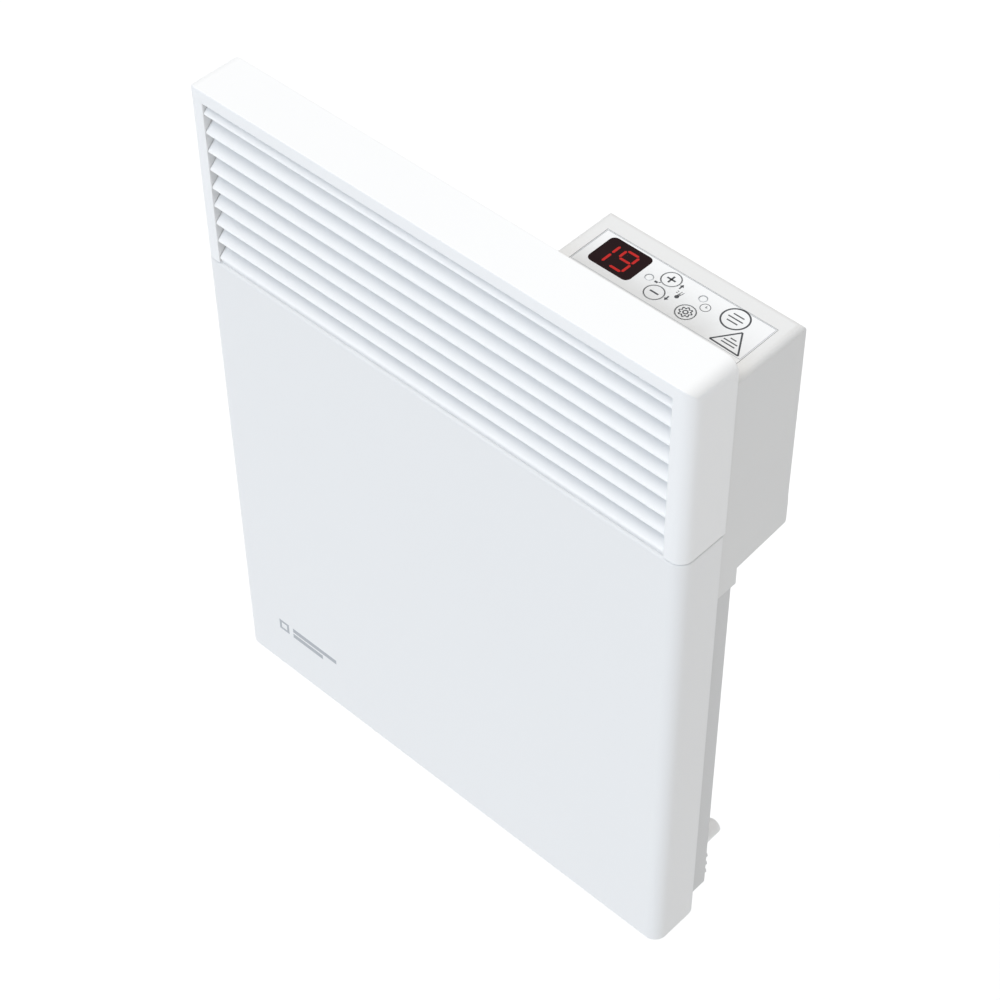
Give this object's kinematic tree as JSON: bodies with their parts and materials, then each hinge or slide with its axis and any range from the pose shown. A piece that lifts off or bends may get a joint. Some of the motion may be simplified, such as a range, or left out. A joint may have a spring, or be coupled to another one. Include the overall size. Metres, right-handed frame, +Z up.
{
  "type": "panel convector heater",
  "caption": "Slim wall-hung convector heater: louvred front outlet, steel panel, control housing with display and keys behind the top corner, wall bracket with turning latches.",
  "frame": {"origin": "on the wall plane, at the centre of the heater's width, at mid height of the wall bracket's upper bar", "axes": "+X to the right seen from the front, +Y into the wall, +Z up; the front face looks along -Y"},
  "size_m": [0.34, 0.0875, 0.44],
  "materials": {
    "coated_steel": "smooth satin powder coat, cool white",
    "white_moulding": "smooth satin moulded plastic, warm white",
    "label": "printed polyester film, silver white, satin",
    "dark_window": "smoked red-black display lens, glossy",
    "black_plastic": "moulded black plastic",
    "clear_light": "frosted clear light pipe",
    "circuit_board": "glass-fibre board, green solder mask",
    "blue_plastic": "blue moulded relay case",
    "yellow_tape": "yellow winding tape",
    "grey_plastic": "grey moulded nylon",
    "aluminium": "extruded, matt",
    "plain_steel": "zinc plated",
    "galvanised_steel": "hot-dip galvanised sheet",
    "ceramic": "unglazed steatite",
    "silicone": "silicone and glass sleeve"
  },
  "bodies": {
    "root": {"front_panel": "coated_steel", "hood": "white_moulding", "outlet_grille": "white_moulding", "back_casing": "coated_steel", "cable_gland": "white_moulding", "gland_nut": "white_moulding", "control_housing": "white_moulding", "control_label": "label", "display_window": "dark_window", "display_module": "black_plastic", "plus_switch": "black_plastic", "minus_switch": "black_plastic", "mode_switch": "black_plastic", "heat_light": "clear_light", "timer_light": "clear_light", "control_board": "circuit_board", "power_board": "circuit_board", "relay": "blue_plastic", "transformer": "yellow_tape", "terminal_block": "grey_plastic", "capacitor": "black_plastic", "ribbon_cable": "grey_plastic", "heating_element": "aluminium", "element_insulator_left": "ceramic", "element_hanger_left": "galvanised_steel", "element_terminal_left": "plain_steel", "element_insulator_right": "ceramic", "element_hanger_right": "galvanised_steel", "element_terminal_right": "plain_steel", "heat_shield": "galvanised_steel", "thermal_cutout": "plain_steel", "air_deflector": "galvanised_steel", "sensor_clip": "grey_plastic", "sensor_probe": "plain_steel", "element_lead_right": "silicone", "element_lead_left": "silicone", "hood_screw_left_lower": "plain_steel", "hood_screw_left_upper": "plain_steel", "panel_screw_left": "plain_steel", "hood_screw_right_lower": "plain_steel", "hood_screw_right_upper": "plain_steel", "panel_screw_right": "plain_steel", "housing_screw_left_lower": "plain_steel", "housing_screw_left_upper": "plain_steel", "housing_screw_right_lower": "plain_steel", "housing_screw_right_upper": "plain_steel", "board_screw_front": "plain_steel", "board_screw_rear": "plain_steel", "earth_screw": "plain_steel", "wall_bracket": "galvanised_steel"},
    "plus_key": {"plus_key": "label"},
    "minus_key": {"minus_key": "label"},
    "mode_key": {"mode_key": "label"},
    "latch_left": {"bracket_latch_left": "plain_steel"},
    "latch_right": {"bracket_latch_right": "plain_steel"}
  },
  "joints": [
    {"name": "plus_press", "type": "slide", "parent": "root", "child": "plus_key", "axis": [0, 0, -1], "range_m": [0, 0.0005], "stiffness_N_per_m": 2000, "springref_m": -0.0002},
    {"name": "minus_press", "type": "slide", "parent": "root", "child": "minus_key", "axis": [0, 0, -1], "range_m": [0, 0.0005], "stiffness_N_per_m": 2000, "springref_m": -0.0002},
    {"name": "mode_press", "type": "slide", "parent": "root", "child": "mode_key", "axis": [0, 0, -1], "range_m": [0, 0.0005], "stiffness_N_per_m": 2000, "springref_m": -0.0002},
    {"name": "latch_turn_left", "type": "hinge", "parent": "root", "child": "latch_left", "pos_m": [-0.115, -0.0425, 0], "axis": [0, -1, 0], "range_deg": [0, 90]},
    {"name": "latch_turn_right", "type": "hinge", "parent": "root", "child": "latch_right", "pos_m": [0.0255, -0.0425, 0], "axis": [0, -1, 0], "range_deg": [0, 90]}
  ]
}
